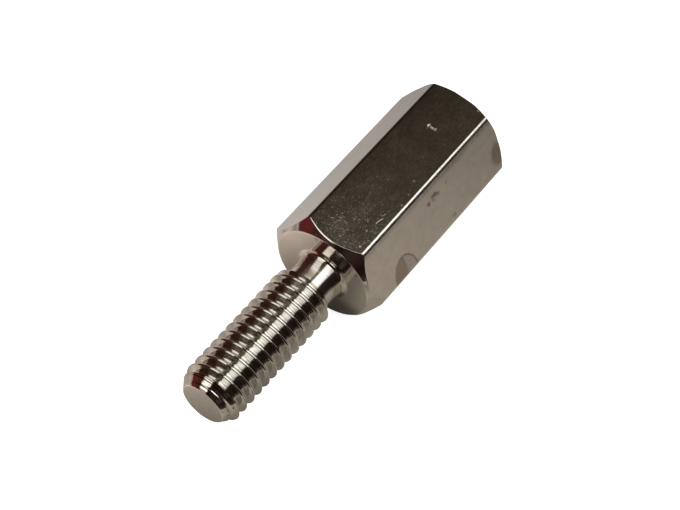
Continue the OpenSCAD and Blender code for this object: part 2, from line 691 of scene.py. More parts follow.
first_body = len(rings)
prev = None
on_top = (np.abs(sec_n[:, 1] - 1) < 1e-9) & (np.abs(sec_pos[:, 0]) < TANGENT - 0.05)
for pos, nn, mat in rings:
    pts = np.column_stack([pos[:, 0], sec_u * pos[:, 1:2]])
    nn = nn.copy()
    if mat == MAT_FLAT:
        x, y = pts[on_top, 0], pts[on_top, 1]
        e = 0.004
        h = dents(x, y)
        gx = (dents(x + e, y) - dents(x - e, y)) / (2 * e)
        gy = (dents(x, y + e) - dents(x, y - e)) / (2 * e)
        pts[on_top, 2] -= np.maximum(h, 0.0)
        live = np.abs(gx) + np.abs(gy) > 1e-4
        tilt = unit(np.column_stack([gx, gy, np.ones_like(gx)]))
        sel = np.nonzero(on_top)[0][live]
        nn[sel] = tilt[live]
    ids = skin.add(pts)
    if prev is None:
        zip_rings(
            shoulder_inner, shoulder_phi, ids, sec_phi % (2 * math.pi), minus_x, MAT_TURNED, UV_SHOULDER
        )
    else:
        p_ids, p_pts, p_n, p_mat = prev
        on_flat = p_mat == MAT_FLAT or mat == MAT_FLAT
        use = MAT_FLAT if on_flat else MAT_TURNED
        for j in range(NS):
            k = (j + 1) % NS
            corner = (p_ids[j], p_ids[k], ids[k], ids[j])
            normals = (p_n[j], p_n[k], nn[k], nn[j])
            if on_flat:
                row = int(row_of[j])
                uv = (
                    flat_uv(j, p_pts[j, 0], row),
                    flat_uv(k, p_pts[k, 0], row),
                    flat_uv(k, pts[k, 0], row),
                    flat_uv(j, pts[j, 0], row),
                )
            else:
                fn = UV_SHOULDER if pts[:, 0].mean() < 10 else UV_END
                uv = tuple(fn(*q) for q in (p_pts[j], p_pts[k], pts[k], pts[j]))
            skin.face(corner, normals, uv, use)
    prev = (ids, pts, nn, mat)
end_outer, end_phi = prev[0], sec_phi % (2 * math.pi)

# ---------------------------------------------------------------- tapped hole
N_HOLE = 96
THREAD_END = 8.0
X_IN, X_OUT = 6.3, BODY_L - 0.03
iprof = thread_profile(HOLE_R, PITCH / 8, 0.07, 0.02, True, 4, 1, 1)


def sink(x):
    return SINK_R - (BODY_L - x) * (SINK_R - HOLE_R) / 0.7


def run_out(x, r):
    return r - np.maximum(0.0, THREAD_END - x) * 0.42


hole = Field(iprof, 0.31, X_IN, X_OUT, N_HOLE)
hole.cut(lambda x, r: x - X_IN, 0.004, X_IN)
hole.keep(1)
hole.cut(lambda x, r: X_OUT - x, 0.004, X_OUT)
hole.keep(1)
hole.cut(lambda x, r: x - THREAD_END, 0.003, THREAD_END)
hole.relabel(None, 5)
hole.cut(lambda x, r: run_out(x, r) - HOLE_R + 1e-6, 0.002)
hole.polys = [
    ((ids, 0) if (s > 0 or label == 0) else (ids, 5)) for (ids, label), s in hole.polys if len(ids) > 2
]
hole.cut(lambda x, r: np.maximum(run_out(x, r), HOLE_R) - sink(x), 0.002)
hole.relabel(None, 6)
sink_n = unit(np.array([1.0, -1.0]))
hole_where = lay_field(
    hole,
    lambda x, r: np.maximum(np.maximum(run_out(x, r), HOLE_R), sink(x)),
    {5: (0.0, -1.0), 6: tuple(sink_n)},
    UV_HOLE,
    True,
    None,
)
in_ring, out_ring = hole.boundary(X_IN), hole.boundary(X_OUT)
phi_in = np.array([hole.phi[i] for i in in_ring])
phi_out = np.array([hole.phi[i] for i in out_ring])
ids_in = np.array([hole_where[i] for i in in_ring])
ids_out = np.array([hole_where[i] for i in out_ring])
# mouth: end face, small radius, countersink
prev_ids, prev_pts = None, None
r_out = float(sink(np.array([X_OUT]))[0])
mouth = bezier(
    np.array([[BODY_L, SINK_R + 0.03]]),
    np.array([[BODY_L, SINK_R]]),
    np.array([[X_OUT, r_out]]),
    np.array([[1.0, 0.0]]),
    sink_n[None],
    3,
)
for k, ((pos,), (nn,)) in enumerate(mouth):
    nrm = turned_normals(nn[0], nn[1], phi_out)
    pts = ring_points(pos[0], pos[1], phi_out)
    ids = ids_out if k == 3 else skin.add(pts)
    if prev_ids is None:
        zip_rings(end_outer, end_phi, ids, phi_out, plus_x, MAT_TURNED, UV_END)
    else:
        bridge(prev_ids, ids, prev_n, nrm, MAT_TURNED, disced(UV_END, prev_pts), disced(UV_END, pts))
    prev_ids, prev_n, prev_pts = ids, nrm, pts
# bottom of the drilled hole
prev_ids, prev_pts = ids_in, ring_points(X_IN, HOLE_R, phi_in)
prev_n = turned_normals(0.0, -1.0, phi_in)
x_bottom = BODY_L - HOLE_L
drill_n = unit(np.array([1.0, -math.tan(math.radians(31))]))
drill_n = unit(np.array([math.sin(math.radians(59)), -math.cos(math.radians(59))]))
for k, (x, r, nx, nr) in enumerate(
    [
        (x_bottom, HOLE_R, 0.0, -1.0),
        (x_bottom, HOLE_R, drill_n[0], drill_n[1]),
        (x_bottom - DRILL_L * 0.5, HOLE_R * 0.5, drill_n[0], drill_n[1]),
        (x_bottom - DRILL_L * 0.9, HOLE_R * 0.1, drill_n[0], drill_n[1]),
    ]
):
    nrm = turned_normals(nx, nr, phi_in)
    pts = ring_points(x, r, phi_in)
    if k == 1:
        prev_n = nrm
        continue
    ids = skin.add(pts)
    bridge(prev_ids, ids, prev_n, nrm, MAT_TURNED, disced(UV_DRILL, prev_pts), disced(UV_DRILL, pts))
    prev_ids, prev_n, prev_pts = ids, nrm, pts
apex = skin.add([[x_bottom - DRILL_L, 0, 0]])[0]
for j in range(len(prev_ids)):
    k = (j + 1) % len(prev_ids)
    skin.face(
        (prev_ids[j], prev_ids[k], apex),
        [prev_n[j], prev_n[k], plus_x],
        [UV_DRILL(*prev_pts[j]), UV_DRILL(*prev_pts[k]), UV_DRILL(0, 0, 0)],
        MAT_TURNED,
    )

# ---------------------------------------------------------------- into Blender
points = np.vstack(skin.p)
mesh = bpy.data.meshes.new("hex_standoff_skin")
used = np.zeros(len(points), bool)
for f in skin.faces:
    used[f] = True
new_id = np.cumsum(used) - 1
mesh.from_pydata(
    (points[used] * MM).tolist(), [], [[int(new_id[i]) for i in f] for f in skin.faces]
)
mesh.validate(verbose=False)
mesh.update()
if len(mesh.polygons) != len(skin.faces):
    print("faces lost:", len(skin.faces) - len(mesh.polygons))
mesh.polygons.foreach_set("material_index", skin.mats)
mesh.polygons.foreach_set("use_smooth", [True] * len(mesh.polygons))
layer = mesh.uv_layers.new(name="OFBake")
layer.data.foreach_set("uv", np.array(skin.uvs, np.float32).ravel())
mesh.normals_split_custom_set([Vector(n) for n in np.array(skin.normals)])
part = bpy.data.objects.new("standoff", mesh)
bpy.context.scene.collection.objects.link(part)

# closed: count the edges that are open or doubled and print the first few
edges = np.array(sorted((min(a, b), max(a, b)) for f in skin.faces for a, b in zip(f, f[1:] + f[:1])))
pairs, count = np.unique(edges, axis=0, return_counts=True)
tris = sum(len(f) - 2 for f in skin.faces)
print("skin:", len(skin.faces), "faces,", tris, "triangles, open or doubled edges:", int((count != 2).sum()))
if (count != 2).any():
    bad = pairs[count != 2]
    print(np.round(points[bad[:12]], 4).tolist(), count[count != 2][:12])

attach(part, "root")
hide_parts("hex_standoff")


# ---------------------------------------------------------------- finish
class Graph:
    """Short names for shader nodes. Lengths in it are in mm."""

    def __init__(self, nt):
        self.nt = nt

    def put(self, sock, v):
        if isinstance(v, bpy.types.NodeSocket):
            self.nt.links.new(v, sock)
        elif isinstance(v, (tuple, list)):
            sock.default_value = (*v, 1) if len(v) == 3 and len(sock.default_value) == 4 else v
        else:
            sock.default_value = v

    def math(self, op, *args):
        n = self.nt.nodes.new("ShaderNodeMath")
        n.operation = op
        for i, a in enumerate(args):
            self.put(n.inputs[i], a)
        return n.outputs[0]

    def mul(self, *args):
        out = args[0]
        for a in args[1:]:
            out = self.math("MULTIPLY", out, a)
        return out

    def ramp(self, v, lo, hi, a=0.0, b=1.0, kind="SMOOTHSTEP"):
        n = self.nt.nodes.new("ShaderNodeMapRange")
        n.interpolation_type = kind
        for name, x in (("Value", v), ("From Min", lo), ("From Max", hi), ("To Min", a), ("To Max", b)):
            self.put(n.inputs[name], x)
        return n.outputs[0]

    def mix(self, f, a, b):
        n = self.nt.nodes.new("ShaderNodeMix")
        n.data_type = "RGBA"
        self.put(n.inputs["Factor"], f)
        self.put(n.inputs["A"], a)
        self.put(n.inputs["B"], b)
        return n.outputs["Result"]

    def scale(self, colour, v):
        n = self.nt.nodes.new("ShaderNodeVectorMath")
        n.operation = "SCALE"
        self.put(n.inputs[0], colour)
        self.put(n.inputs["Scale"], v)
        return n.outputs[0]

    def position(self):
        g = self.nt.nodes.new("ShaderNodeNewGeometry")
        n = self.nt.nodes.new("ShaderNodeVectorMath")
        n.operation = "SCALE"
        n.inputs["Scale"].default_value = 1000.0
        self.nt.links.new(g.outputs["Position"], n.inputs[0])
        sep = self.nt.nodes.new("ShaderNodeSeparateXYZ")
        self.nt.links.new(n.outputs[0], sep.inputs[0])
        return sep.outputs[0], sep.outputs[1], sep.outputs[2]

    def add(self, *args):
        out = args[0]
        for a in args[1:]:
            out = self.math("ADD", out, a)
        return out

    def sub(self, a, b):
        return self.math("SUBTRACT", a, b)

    def object_mm(self):
        """The object's own coordinates, as a vector in mm and as x, y, z."""
        t = self.nt.nodes.new("ShaderNodeTexCoord")
        n = self.nt.nodes.new("ShaderNodeVectorMath")
        n.operation = "SCALE"
        n.inputs["Scale"].default_value = 1000.0
        self.nt.links.new(t.outputs["Object"], n.inputs[0])
        sep = self.nt.nodes.new("ShaderNodeSeparateXYZ")
        self.nt.links.new(n.outputs[0], sep.inputs[0])
        return n.outputs[0], sep.outputs[0], sep.outputs[1], sep.outputs[2]

    def stretch(self, vec, sx, sy, sz):
        n = self.nt.nodes.new("ShaderNodeVectorMath")
        n.operation = "MULTIPLY"
        self.nt.links.new(vec, n.inputs[0])
        n.inputs[1].default_value = (sx, sy, sz)
        return n.outputs[0]

    def noise(self, vec, scale, detail=2.0, rough=0.5):
        """Noise with a mean near 0.5, scale in cells per mm."""
        n = self.nt.nodes.new("ShaderNodeTexNoise")
        self.put(n.inputs["Vector"], vec)
        n.inputs["Scale"].default_value = scale
        n.inputs["Detail"].default_value = detail
        n.inputs["Roughness"].default_value = rough
        return n.outputs[0]

    def cells(self, vec, scale):
        """Distance to the nearest cell point, in cells."""
        n = self.nt.nodes.new("ShaderNodeTexVoronoi")
        self.put(n.inputs["Vector"], vec)
        n.inputs["Scale"].default_value = scale
        return n.outputs["Distance"]

    def oval(self, x, y, cx, cy, rx, ry, turn=0.0):
        """Distance from a centre in units of an oval's radius."""
        c, t = math.cos(math.radians(turn)), math.sin(math.radians(turn))
        dx, dy = self.sub(x, cx), self.sub(y, cy)
        u = self.mul(self.add(self.mul(dx, c), self.mul(dy, t)), 1 / rx)
        v = self.mul(self.sub(self.mul(dy, c), self.mul(dx, t)), 1 / ry)
        return self.math("SQRT", self.add(self.mul(u, u), self.mul(v, v)))

    def spot(self, x, y, cx, cy, rx, ry, soft=0.35, turn=0.0):
        return self.ramp(self.oval(x, y, cx, cy, rx, ry, turn), 1 - soft, 1 + soft, 1, 0)

    def ball(self, x, y, z, cx, cy, cz, r):
        """1 inside a soft ball, 0 outside."""
        d = [self.sub(a, b) for a, b in ((x, cx), (y, cy), (z, cz))]
        far = self.math("SQRT", self.add(*[self.mul(a, a) for a in d]))
        return self.ramp(far, 0.6 * r, 1.4 * r, 1, 0)

    def add_xyz(self, p, dx, dy, dz):
        n = self.nt.nodes.new("ShaderNodeVectorMath")
        n.operation = "ADD"
        self.put(n.inputs[0], p)
        n.inputs[1].default_value = (dx, dy, dz)
        return n.outputs[0]

    def most(self, *args):
        out = args[0]
        for a in args[1:]:
            out = self.math("MAXIMUM", out, a)
        return out

    def bump(self, height, distance, strength=1.0, normal=None):
        """Turns a height in mm-scaled units into a normal."""
        n = self.nt.nodes.new("ShaderNodeBump")
        n.inputs["Distance"].default_value = distance * MM
        n.inputs["Strength"].default_value = strength
        self.put(n.inputs["Height"], height)
        if normal is not None:
            self.put(n.inputs["Normal"], normal)
        return n.outputs[0]



NICKEL = (0.68, 0.64, 0.585)


def metal(name):
    mat = bpy.data.materials.new(name)
    mat.use_nodes = True
    bsdf = mat.node_tree.nodes["Principled BSDF"]
    bsdf.inputs["Metallic"].default_value = 1.0
    return mat, bsdf, Graph(mat.node_tree)


def drawn_metal():
    """The six flats: drawn and plated bar, with specks, a scratch, two dried drops and small pits, and with light and
    shade painted into the colour by place.
    """
    mat, bsdf, g = metal("nickel_drawn")
    p, x, y, z = g.object_mm()
    top = g.ramp(z, 4.80, 4.93)
    # across the flat on the -Y side: 0 in its middle, growing downwards
    v = g.add(g.mul(y, -0.5), g.mul(z, -0.8660), (-4.330 * 0.5 + 2.5 * 0.8660))
    side = g.add(g.mul(y, -0.8660), g.mul(z, 0.5))
    right = g.ramp(side, 4.85, 4.95)
    left = g.ramp(g.add(g.mul(y, 0.8660), g.mul(z, 0.5)), 4.85, 4.95)

    # fine grain of the drawn surface, longer along the bar
    grain = g.noise(g.stretch(p, 0.45, 1.0, 1.0), 5.5, 3.0, 0.6)
    cloud = g.noise(p, 0.55, 3.0, 0.55)
    fine = g.noise(p, 14.0, 1.0, 0.5)
    # uneven coordinates so that no mark is a true oval
    wob = g.sub(g.noise(p, 1.7, 2.0, 0.6), 0.5)
    wob2 = g.sub(g.noise(g.stretch(p, 1.0, 1.3, 0.9), 2.3, 2.0, 0.6), 0.5)
    xw, vw = g.add(x, g.mul(wob, 0.55)), g.add(v, g.mul(wob2, 0.55))

    # specks of dust and tiny pits, mostly near the shoulder on the top flat
    crowd = g.add(g.ramp(x, 3.0, 12.0, 0.185, 0.08), g.mul(g.sub(cloud, 0.5), 0.10))
    fine_specks = g.ramp(g.sub(crowd, g.cells(p, 7.6)), -0.06, 0.10)
    few_specks = g.ramp(g.sub(g.ramp(x, 4.0, 13.0, 0.12, 0.05), g.cells(g.add_xyz(p, 31.0, 7.0, 3.0), 3.4)), -0.03, 0.07)
    dim = g.ramp(g.noise(p, 4.1, 2.0, 0.6), 0.40, 0.70, 0.12, 0.85)
    specks = g.mul(g.most(g.mul(fine_specks, 0.66), g.mul(few_specks, 0.66)), dim, g.add(g.mul(top, 0.85), 0.15))
    for cx, cy, r, k in (
        (9.8, -1.8, 0.10, 0.45),
        (14.6, -1.6, 0.08, 0.30),
        (19.6, -1.8, 0.09, 0.60),
        (7.1, -2.45, 0.11, 0.45),
        (8.35, -2.25, 0.09, 0.40),
        (1.20, -0.30, 0.08, 0.26),
        (1.50, -2.16, 0.11, 0.40),
        (3.85, -1.12, 0.07, 0.22),
        (5.42, 0.14, 0.07, 0.20),
        (5.76, 0.25, 0.07, 0.22),
        (1.10, 1.05, 0.07, 0.14),
    ):
        specks = g.most(specks, g.mul(top, k, g.spot(x, y, cx, cy, r, r, 0.6)))
    for cx, cy, rx, ry, k in ((15.37, 0.63, 0.12, 0.08, 0.9), (15.42, 0.36, 0.05, 0.18, 0.7), (15.36, -0.04, 0.06, 0.12, 0.5), (15.48, -0.12, 0.09, 0.04, 0.4), (15.30, -0.30, 0.05, 0.05, 0.3), (12.3, -0.9, 0.10, 0.10, 0.2)):
        specks = g.most(specks, g.mul(top, k, g.spot(x, y, cx, cy, rx, ry, 0.7)))
    # one short curved scratch beside a fainter one
    along = g.sub(x, 4.48)
    bow = g.add(y, 1.885, g.mul(along, 0.17), g.mul(g.mul(along, along), 0.30))
    line = g.mul(g.ramp(g.math("ABSOLUTE", bow), 0.015, 0.065, 1, 0), g.ramp(g.math("ABSOLUTE", g.sub(x, 4.50)), 0.30, 0.54, 0.80, 0))
    bow2 = g.add(y, 1.855, g.mul(g.sub(x, 5.22), 0.28))
    line2 = g.mul(g.ramp(g.math("ABSOLUTE", bow2), 0.02, 0.07, 1, 0), g.ramp(g.math("ABSOLUTE", g.sub(x, 5.22)), 0.14, 0.32, 1, 0), 0.40)
    scratch = g.mul(g.most(line, line2), top)

    # the side flat: a dried drop by the shoulder and another at the far end, dots between
    drop = g.oval(g.add(x, g.mul(wob, 0.25)), g.add(v, g.mul(wob2, 0.25)), 4.72, 2.70, 1.50, 1.95)
    ring = g.ramp(g.math("ABSOLUTE", g.sub(drop, 1.0)), 0.02, 0.085, 1, 0)
    inside = g.ramp(drop, 0.93, 1.0, 1, 0)
    brown = g.mul(inside, g.ramp(x, 4.75, 5.15, 1.0, 0.18))
    seam = g.mul(inside, g.ramp(g.math("ABSOLUTE", g.sub(g.add(x, g.mul(v, -0.18)), 4.62)), 0.04, 0.16, 1, 0))
    far_spot = g.spot(xw, vw, 19.45, 1.05, 0.95, 1.10, 0.25)
    far_core = g.spot(xw, vw, 19.05, 0.95, 0.40, 0.50, 0.6)
    smudge = g.spot(xw, vw, 13.9, -2.25, 1.7, 0.22, 0.9)
    dots = g.spot(xw, vw, 9.68, -1.15, 0.23, 0.19, 0.6)
    for cx, cv, rx, rv, k in (
        (10.60, -1.45, 0.37, 0.22, 0.9),
        (10.98, -1.27, 0.29, 0.18, 0.75),
        (10.40, -1.12, 0.10, 0.08, 0.5),
        (12.4, -1.40, 0.15, 0.13, 0.42),
        (12.1, 2.10, 0.24, 0.18, 0.6),
        (0.8, 2.20, 0.10, 0.26, 0.6),
        (0.35, 1.75, 0.06, 0.20, 0.4),
        (5.45, 1.75, 0.10, 0.08, 0.55),
        (5.30, 2.15, 0.12, 0.07, 0.45),
        (2.2, 1.2, 0.09, 0.07, 0.4),
        (1.6, -0.4, 0.12, 0.06, 0.3),
        (16.3, -0.3, 0.10, 0.08, 0.3),
        (7.9, 1.1, 0.13, 0.08, 0.25),
        (14.9, 1.0, 0.12, 0.09, 0.25),
    ):
        dots = g.most(dots, g.mul(g.spot(xw, vw, cx, cv, rx, rv, 0.6), k))
    dots = g.mul(dots, right)
    stain = g.mul(right, g.most(g.mul(brown, 0.80), g.mul(inside, 0.28), g.mul(far_spot, 0.86), g.mul(far_core, 1.0), g.mul(smudge, 0.36)))
    dark_line = g.mul(right, g.most(g.mul(ring, g.ramp(x, 4.2, 5.6, 0.75, 1.0)), g.mul(seam, 0.35)))
    # a faint spot on the other side
    stain = g.most(stain, g.mul(left, g.spot(xw, v, 6.1, -2.2, 0.25, 0.25, 0.7), 0.3))

    # colour: slow clouds, then stains, then pits
    tone = g.add(0.955, g.mul(g.sub(cloud, 0.5), 0.16), g.mul(g.sub(grain, 0.5), 0.10), g.mul(g.sub(fine, 0.5), 0.06))
    # painted shade: both side flats get darker towards the far end, the -Y one a little, the +Y one more
    tone = g.mul(tone, g.sub(1.0, g.mul(right, g.ramp(x, 2, 20, 0.0, 0.10, "LINEAR"))))
    tone = g.mul(tone, g.sub(1.0, g.mul(left, g.ramp(x, 1, 20, 0.0, 0.18, "LINEAR"))))
    # painted light and shade on the top flat, over its random mottle: lighter towards its -Y side and the shoulder,
    # darker along its +Y edge and towards the far end, and a painted shade strip at its very start by the shoulder
    mottle_and_painted_shading = g.add(g.mul(g.sub(fine, 0.5), 1.55), g.mul(g.sub(grain, 0.5), 0.75), g.mul(g.sub(cloud, 0.5), 0.35))
    mottle_and_painted_shading = g.add(mottle_and_painted_shading, g.ramp(y, -2.6, 2.6, 0.13, -0.20, "LINEAR"), g.ramp(x, 1, 19, 0.13, -0.13, "LINEAR"))
    tone = g.mul(tone, g.add(1.0, g.mul(top, mottle_and_painted_shading)), g.sub(1.0, g.mul(top, g.ramp(x, 0.5, 2.2, 0.14, 0.0))))
    # painted highlight and painted shade on the top flat's lip by the shoulder chamfer: lighter on its +Y part, darker
    # on its -Y part
    radius = g.math("SQRT", g.add(g.mul(y, y), g.mul(z, z)))
    lip = g.mul(top, g.ramp(g.sub(x, g.mul(g.sub(radius, 4.74), 1.03)), 0.04, 0.10, 1, 0))
    tone = g.mul(tone, g.add(1.0, g.mul(lip, g.ramp(y, -1.7, -1.1, -0.40, 0.24))))
    # painted shade dimming the highlight along edge 2, the -Y top edge, unevenly and more towards the far end
    edge_2 = g.mul(g.ramp(y, -2.62, -2.50, 1, 0), g.ramp(z, 4.3, 4.6))
    under_2 = g.mul(g.ramp(y, -2.88, -2.80, 1, 0), g.ramp(z, 4.70, 4.76))
    uneven = g.noise(g.stretch(p, 1.0, 0.4, 0.4), 1.6, 3.0, 0.75)
    tone = g.mul(tone, g.sub(1.0, g.mul(edge_2, g.add(0.14, g.mul(g.ramp(uneven, 0.30, 0.70), g.ramp(x, 4, 15, 0.14, 0.30))))))
    # painted shade: a dark line along edge 1, the +Y top edge
    line_1 = g.ramp(g.oval(y, z, 2.83, 4.86, 1.0, 1.0), 0.16, 0.36, 1, 0)
    tone = g.mul(tone, g.sub(1.0, g.mul(line_1, 0.62)))
    smear = g.noise(g.stretch(p, 0.7, 1.0, 1.0), 1.5, 4.0, 0.65)
    tone = g.mul(tone, g.add(1.0, g.mul(right, g.sub(smear, 0.5), 0.30)))
    olive = g.mul(right, g.most(g.ramp(g.noise(p, 0.75, 2.0, 0.6), 0.42, 0.62), g.ramp(x, 12, 18, 0, 0.85)))
    colour = g.scale(g.mix(g.mul(olive, 0.8), NICKEL, (0.655, 0.635, 0.56)), tone)
    colour = g.mix(stain, colour, g.mix(g.ramp(x, 10, 15), (0.335, 0.265, 0.215), (0.315, 0.262, 0.200)))
    colour = g.mix(g.most(g.mul(dots, 0.80), g.mul(dark_line, 0.62)), colour, (0.19, 0.15, 0.11))
    colour = g.mix(g.mul(g.most(specks, scratch), top), colour, (0.78, 0.76, 0.72))
    g.put(bsdf.inputs["Base Color"], colour)

    rough = g.add(0.045, g.mul(g.ramp(cloud, 0.40, 0.70), 0.035), g.mul(grain, 0.03))
    rough = g.add(rough, g.mul(specks, 0.34), g.mul(scratch, 0.32), g.mul(stain, 0.02), g.mul(dots, 0.25), g.mul(dark_line, 0.2), g.mul(under_2, g.ramp(uneven, 0.25, 0.75, 0.08, 0.24)))
    g.put(bsdf.inputs["Roughness"], rough)

    ragged = g.noise(g.stretch(p, 1.0, 0.3, 0.3), 3.2, 3.0, 0.65)
    on_edge = g.most(
        g.ramp(g.oval(y, z, -2.83, 4.86, 1.0, 1.0), 0.12, 0.42, 1, 0), g.ramp(g.oval(y, z, 2.83, 4.86, 1.0, 1.0), 0.12, 0.42, 1, 0)
    )
    height = g.add(g.mul(specks, 0.30), g.mul(scratch, -0.4), g.mul(grain, 0.10), g.mul(cloud, 0.12), g.mul(dots, -0.5))
    height = g.add(height, g.mul(on_edge, ragged, 0.7))
    g.put(bsdf.inputs["Normal"], g.bump(height, 0.012))
    return mat


def turned_metal():
    """Shoulder, chamfers, neck, tip and end face: turned, with rings from the tool, and with painted highlights and
    painted shade on some rims and edges.
    """
    mat, bsdf, g = metal("nickel_turned")
    p, x, y, z = g.object_mm()
    radius = g.math("SQRT", g.add(g.mul(y, y), g.mul(z, z)))
    faces = g.most(g.ramp(x, -0.06, -0.03), g.ramp(x, -16.16, -16.12, 1, 0))
    on_neck = g.mul(g.ramp(x, -2.5, -2.4), g.ramp(x, -0.35, -0.25, 1, 0))
    along = g.noise(g.stretch(p, 9.0, 0.15, 0.15), 1.0, 3.0, 0.7)
    comb = g.nt.nodes.new("ShaderNodeCombineXYZ")
    g.put(comb.inputs[0], g.mul(radius, 7.0))
    g.put(comb.inputs[1], g.mul(x, 1.5))
    rings = g.noise(comb.outputs[0], 1.0, 3.0, 0.65)
    cloud = g.noise(p, 0.8, 3.0, 0.55)
    fine = g.noise(p, 9.0, 2.0, 0.5)
    tone = g.add(0.96, g.mul(g.sub(cloud, 0.5), 0.14), g.mul(g.sub(fine, 0.5), 0.05))
    tone = g.mul(tone, g.sub(1.0, g.mul(on_neck, g.ramp(along, 0.52, 0.70), 0.35)))
    # painted light and shade on the lip between the shoulder chamfer and the top flat: a painted highlight, brighter in
    # its middle, and a painted shade on its -Y half
    lip = g.mul(g.ramp(z, 4.90, 4.95), g.ramp(x, 2, 3, 1, 0))
    tone = g.mul(tone, g.add(1.0, g.mul(lip, g.ramp(y, -1.7, -1.1, -0.40, 0.24))))
    gaps = g.most(*[g.ramp(g.math("ABSOLUTE", g.add(x, k)), 0.025, 0.075, 1, 0) for k in (15.86, 15.42, 15.26, 15.02)])
    on_lead = g.mul(g.ramp(x, -16.14, -16.05), g.ramp(x, -14.9, -14.8, 1, 0))
    tracks = g.noise(g.stretch(p, 4.2, 0.35, 0.35), 1.0, 3.0, 0.65)
    tone = g.mul(tone, g.sub(1.0, g.mul(on_lead, gaps, g.ramp(z, 1.7, 2.1, 0.15, 1.0), g.ramp(tracks, 0.35, 0.55, 0.3, 0.75))))
    specks = g.ramp(g.sub(0.075, g.cells(p, 1.6)), -0.01, 0.03)
    tip = g.ramp(x, -16.16, -16.12, 1, 0)
    for cy, cz, r in ((1.02, -0.42, 0.09), (-0.72, -0.35, 0.08), (-0.95, 0.72, 0.06), (-0.85, -0.10, 0.07)):
        specks = g.most(specks, g.mul(tip, g.spot(y, z, cy, cz, r, r, 0.6)))
    colour = g.scale(g.mix(0.0, NICKEL, NICKEL), tone)
    # painted highlights: light lines round the rim of the shoulder face, strongest a little to its +Y side, and round
    # the rim of the tip face
    rim_highlights = g.most(
        g.mul(
            g.ramp(g.math("ABSOLUTE", g.sub(radius, 4.68)), 0.05, 0.10, 1, 0),
            g.ramp(x, -0.02, 0.01),
            g.ramp(x, 0.09, 0.14, 1, 0),
            g.mul(g.ramp(y, -2.2, 0.3, 0.10, 1.0), g.ramp(y, 2.8, 3.8, 1.0, 0.2)),
        ),
        g.mul(g.ramp(g.math("ABSOLUTE", g.sub(radius, 2.03)), 0.02, 0.06, 1, 0), g.ramp(x, -16.12, -16.08, 1, 0)),
    )
    colour = g.mix(g.mul(rim_highlights, 0.80), colour, (0.96, 0.89, 0.84))
    colour = g.mix(g.mul(specks, 0.45), colour, (0.16, 0.13, 0.10))
    pits = 0.0
    for cx, cy, cz, r in ((-15.35, -2.40, 1.12, 0.10), (-16.10, -1.91, 0.86, 0.07), (-15.78, -2.32, 0.32, 0.08), (-15.73, -2.12, 1.02, 0.07), (0.15, 4.48, 1.95, 0.10), (0.03, -1.6, 2.9, 0.06)):
        pits = g.most(pits, g.ball(x, y, z, cx, cy, cz, r))
    colour = g.mix(g.mul(pits, 0.8), colour, (0.06, 0.05, 0.045))
    g.put(bsdf.inputs["Base Color"], colour)
    g.put(bsdf.inputs["Roughness"], g.add(0.045, g.mul(cloud, 0.05), g.mul(on_neck, along, 0.10), g.mul(specks, 0.2)))
    height = g.add(g.mul(faces, rings, 0.10), g.mul(on_neck, along, 0.55), g.mul(on_lead, tracks, 3.6), g.mul(cloud, 0.25), g.mul(specks, -0.3))
    g.put(bsdf.inputs["Normal"], g.bump(height, 0.010))
    return mat


def thread_metal():
    """Threads: plated over a cut surface, so slightly uneven."""
    mat, bsdf, g = metal("nickel_thread")
    p, x, y, z = g.object_mm()
    soft = g.noise(p, 1.1, 2.0, 0.5)
    fine = g.noise(g.stretch(p, 8.0, 0.7, 0.7), 1.3, 2.0, 0.6)
    tone = g.add(0.89, g.mul(g.sub(soft, 0.5), 0.22), g.mul(g.sub(fine, 0.5), 0.75))
    pits = 0.0
    for cx, cy, cz, r in ((-9.17, -2.09, 2.00, 0.13), (-4.47, 1.91, 2.17, 0.13), (-4.41, 1.53, 2.46, 0.10), (-6.21, -2.49, -1.08, 0.12), (-8.3, 2.3, 1.6, 0.07)):
        pits = g.most(pits, g.ball(x, y, z, cx, cy, cz, r))
    colour = g.scale(g.mix(0.0, (0.67, 0.65, 0.60), NICKEL), tone)
    g.put(bsdf.inputs["Base Color"], g.mix(g.mul(pits, 0.85), colour, (0.05, 0.042, 0.038)))
    g.put(bsdf.inputs["Roughness"], g.add(0.05, g.mul(g.ramp(fine, 0.35, 0.75), 0.09)))
    g.put(bsdf.inputs["Normal"], g.bump(g.add(g.mul(soft, 0.5), g.mul(fine, 0.22)), 0.016))
    return mat


for make in (drawn_metal, turned_metal, thread_metal):
    mesh.materials.append(make())


# ---------------------------------------------------------------- studio
def stage_mesh(name, verts, faces):
    m = bpy.data.meshes.new(name)
    m.from_pydata([Vector(v) * MM for v in verts], [], faces)
    m.update()
    o = bpy.data.objects.new(name, m)
    bpy.context.scene.collection.objects.link(o)
    mat = bpy.data.materials.new(name)
    mat.use_nodes = True
    m.materials.append(mat)
    o.visible_transmission = o.visible_volume_scatter = False
    return o, mat


def card(name, x0, x1, y0, y1, z, shade):
    """A soft-edged light panel overhead. shade gives its cover and its colour from x and y in mm."""
    o, mat = stage_mesh(name, [(x0, y0, z), (x1, y0, z), (x1, y1, z), (x0, y1, z)], [[0, 1, 2, 3]])
    nt = mat.node_tree
    nt.nodes.clear()
    g = Graph(nt)
    x, y, _ = g.position()
    cover, colour, strength = shade(g, x, y)
    out = nt.nodes.new("ShaderNodeOutputMaterial")
    em = nt.nodes.new("ShaderNodeEmission")
    g.put(em.inputs["Color"], colour)
    g.put(em.inputs["Strength"], strength)
    clear = nt.nodes.new("ShaderNodeBsdfTransparent")
    mixer = nt.nodes.new("ShaderNodeMixShader")
    g.put(mixer.inputs[0], cover)
    nt.links.new(clear.outputs[0], mixer.inputs[1])
    nt.links.new(em.outputs[0], mixer.inputs[2])
    nt.links.new(mixer.outputs[0], out.inputs["Surface"])
    o.visible_camera = o.visible_shadow = False
    return o


